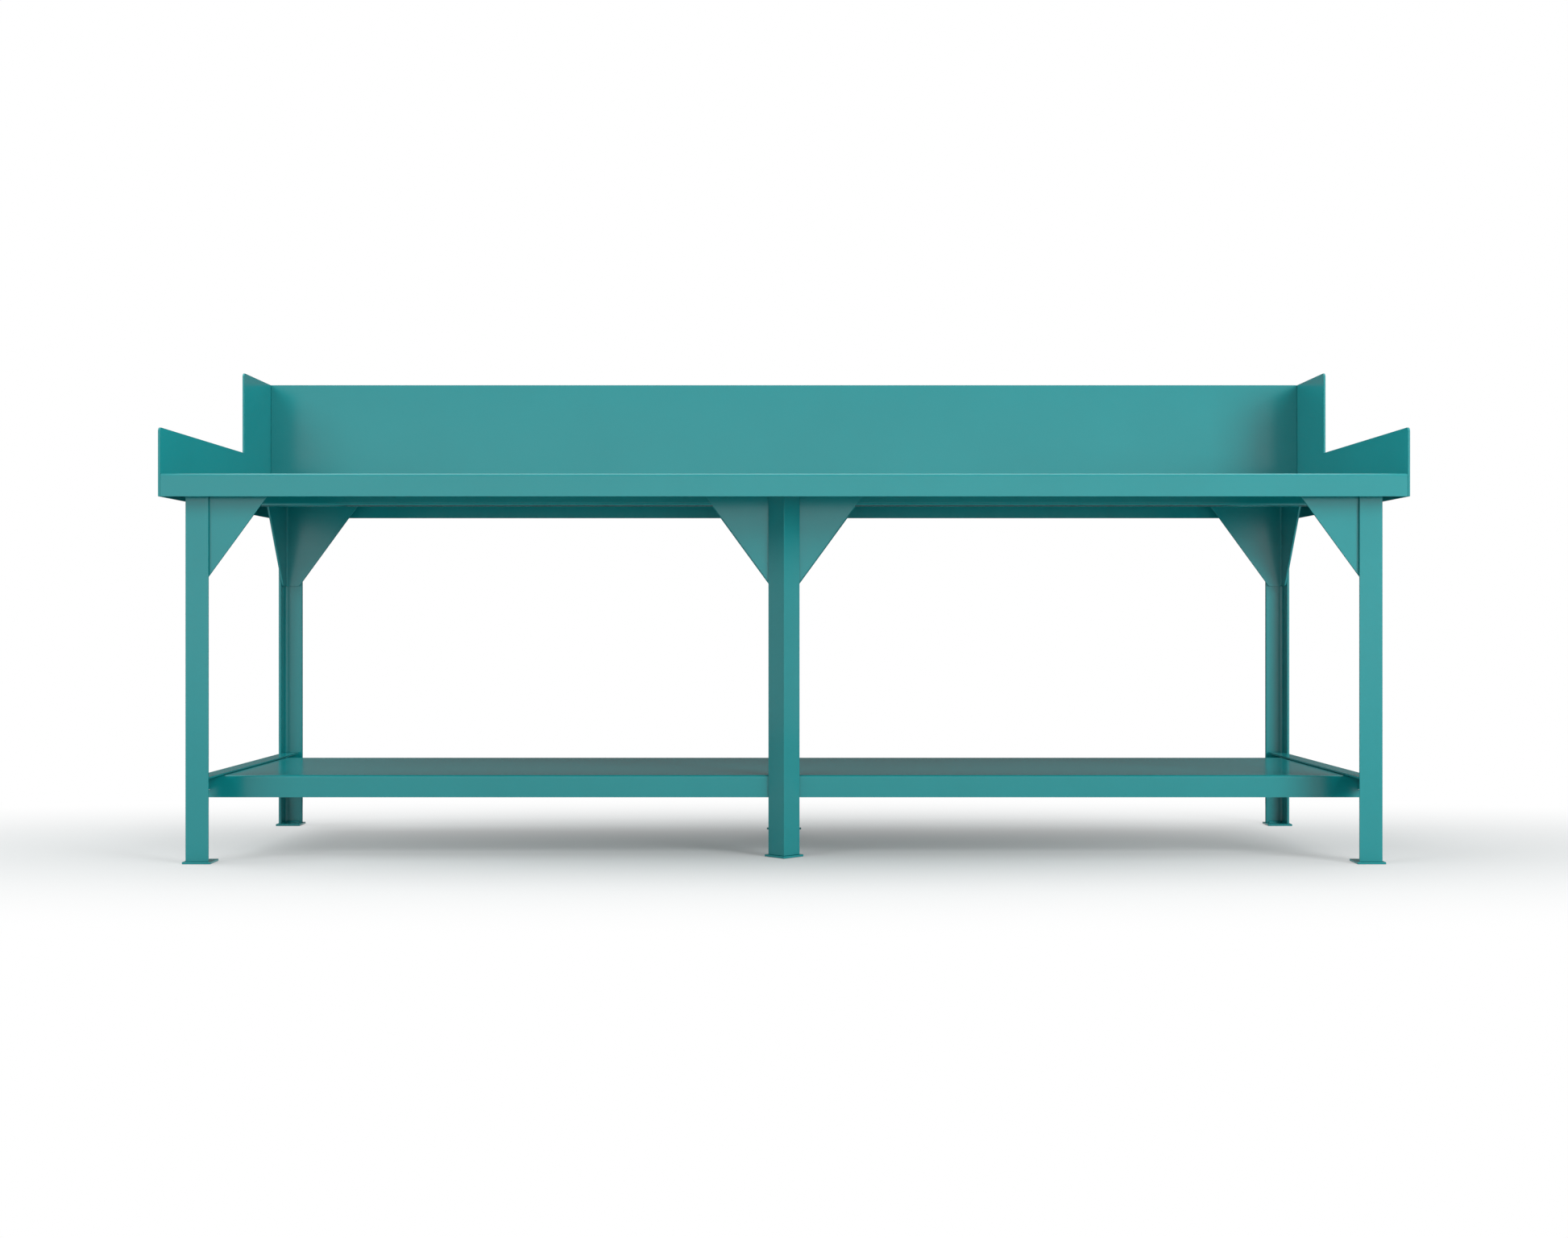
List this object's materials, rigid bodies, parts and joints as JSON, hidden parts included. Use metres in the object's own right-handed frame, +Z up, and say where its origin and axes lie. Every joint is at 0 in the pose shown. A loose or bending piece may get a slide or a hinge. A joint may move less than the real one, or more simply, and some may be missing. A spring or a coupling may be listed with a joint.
{
  "type": "shop table",
  "caption": "Long welded steel shop table with stepped side guards, a back guard, gusseted angle legs on foot plates and a lower shelf.",
  "frame": {"origin": "on the floor, under the middle of the whole table", "axes": "+X along the length, to the right of someone who stands at the open front; +Y from the open front to the back guard; +Z up"},
  "size_m": [2.7534, 0.9194, 1.1684],
  "materials": {
    "teal_powder_coat": "smooth semi-gloss teal powder coat"
  },
  "bodies": {
    "root": {"top_pan": "teal_powder_coat", "top_stiffener": "teal_powder_coat", "side_guard_left": "teal_powder_coat", "side_guard_right": "teal_powder_coat", "back_guard": "teal_powder_coat", "shelf_pan": "teal_powder_coat", "shelf_stringer_left": "teal_powder_coat", "shelf_stringer_right": "teal_powder_coat", "leg_front_left": "teal_powder_coat", "leg_front_centre": "teal_powder_coat", "leg_front_right": "teal_powder_coat", "leg_rear_left": "teal_powder_coat", "leg_rear_centre": "teal_powder_coat", "leg_rear_right": "teal_powder_coat", "foot_front_left": "teal_powder_coat", "foot_front_centre": "teal_powder_coat", "foot_front_right": "teal_powder_coat", "foot_rear_left": "teal_powder_coat", "foot_rear_centre": "teal_powder_coat", "foot_rear_right": "teal_powder_coat", "gusset_front_left_face": "teal_powder_coat", "gusset_front_left_side": "teal_powder_coat", "gusset_front_right_face": "teal_powder_coat", "gusset_front_right_side": "teal_powder_coat", "gusset_rear_left_face": "teal_powder_coat", "gusset_rear_left_side": "teal_powder_coat", "gusset_rear_right_face": "teal_powder_coat", "gusset_rear_right_side": "teal_powder_coat", "gusset_front_centre_left": "teal_powder_coat", "gusset_front_centre_right": "teal_powder_coat", "gusset_rear_centre_left": "teal_powder_coat", "gusset_rear_centre_right": "teal_powder_coat"}
  },
  "joints": []
}
